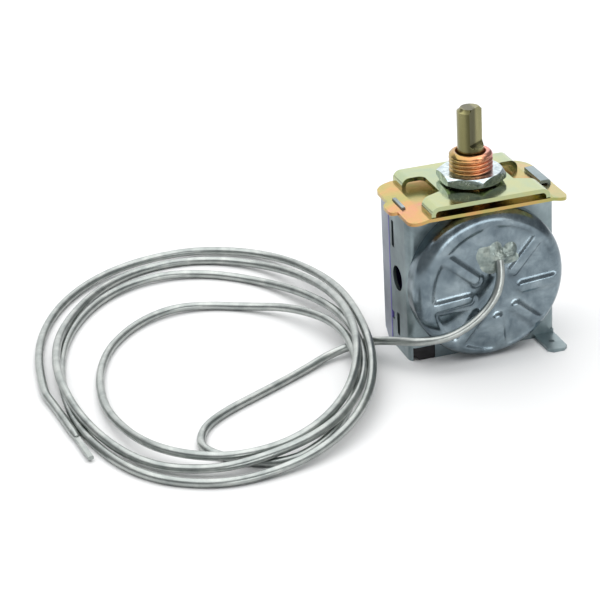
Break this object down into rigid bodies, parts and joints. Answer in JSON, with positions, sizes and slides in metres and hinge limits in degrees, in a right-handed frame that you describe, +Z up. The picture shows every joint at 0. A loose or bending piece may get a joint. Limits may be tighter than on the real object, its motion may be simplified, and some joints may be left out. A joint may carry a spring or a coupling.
{
  "type": "capillary thermostat",
  "caption": "Rotary capillary thermostat: box case with a ribbed diaphragm disc, a bent bridge, a threaded bushing with its nut, a D-cut spindle and a coiled sensing tube.",
  "frame": {"origin": "on the plane that the case stands on, where the spindle's axis meets it", "axes": "+Z up along the spindle's axis; the ribbed disc faces -Y, the terminals point to +Y; the tube's coil lies to -X"},
  "size_m": [0.1201, 0.122, 0.0578],
  "materials": {
    "frame_steel": "satin",
    "cover_steel": "satin",
    "plate_chromate": "gloss",
    "bridge_chromate": "gloss",
    "disc_zinc": "gloss",
    "nut_zinc": "satin",
    "bushing_chromate": "satin",
    "spindle_chromate": "satin",
    "bright_steel": "satin",
    "spring_steel": "satin",
    "brass": "satin",
    "contact_silver": "satin",
    "braze": "rough",
    "capillary_metal": "satin",
    "liner_film": "matte",
    "base_phenolic": "matte",
    "button_ceramic": "gloss"
  },
  "bodies": {
    "base": {"front_frame": "frame_steel", "rear_cover": "cover_steel", "insulating_liner": "liner_film", "terminal_base": "base_phenolic", "top_plate": "plate_chromate", "bridge_bracket": "bridge_chromate", "bushing": "bushing_chromate", "lock_nut": "nut_zinc", "thrust_washer": "bright_steel", "lever_bracket": "bright_steel", "main_lever_pin": "bright_steel", "range_lever_pin": "bright_steel", "diaphragm_backing": "disc_zinc", "diaphragm": "spring_steel", "diaphragm_cover": "disc_zinc", "capillary_braze": "braze", "capillary_lead": "capillary_metal", "capillary_coil": "capillary_metal", "capillary_tail": "capillary_metal", "common_terminal": "brass", "fixed_terminal": "brass", "terminal_rivets": "brass", "cover_rivets": "bright_steel", "fixed_contact": "contact_silver"},
    "spindle": {"spindle": "spindle_chromate", "spindle_cam": "bright_steel"},
    "range_lever": {"range_lever": "bright_steel", "range_screw": "brass", "spring_plug": "brass", "range_spring": "spring_steel"},
    "main_lever": {"main_lever": "bright_steel", "spring_anchor": "bright_steel"},
    "push_button": {"push_button": "button_ceramic"},
    "contact_arm": {"contact_arm": "spring_steel", "moving_contact": "contact_silver", "insulating_button": "button_ceramic"}
  },
  "joints": [
    {"name": "spindle_turn", "type": "hinge", "parent": "base", "child": "spindle", "pos_m": [0, 0, 0.04], "axis": [0, 0, 1], "range_deg": [-135, 135]},
    {"name": "range_lever_tilt", "type": "hinge", "parent": "base", "child": "range_lever", "pos_m": [0, 0.0046, 0.024], "axis": [1, 0, 0], "range_deg": [-2.44, 2.44], "deforming": ["range_spring"]},
    {"name": "main_lever_tilt", "type": "hinge", "parent": "base", "child": "main_lever", "pos_m": [0, -0.0022, 0.0082], "axis": [-1, 0, 0], "range_deg": [0, 2.7], "stiffness_Nm_per_rad": 0.05, "deforming": ["range_spring"]},
    {"name": "button_travel", "type": "slide", "parent": "base", "child": "push_button", "axis": [0, 1, 0], "range_m": [0, 0.0005]},
    {"name": "contact_arm_tilt", "type": "hinge", "parent": "base", "child": "contact_arm", "pos_m": [-0.0114, 0.0075, 0.0082], "axis": [0, 1, 0], "range_deg": [0, 2.3]}
  ],
  "couplings": [
    {"joint": "range_lever_tilt", "follows": "spindle_turn", "ratio": -0.018018},
    {"joint": "button_travel", "follows": "main_lever_tilt", "m_per_rad": 0.01045},
    {"joint": "contact_arm_tilt", "follows": "main_lever_tilt", "ratio": 0.851}
  ]
}
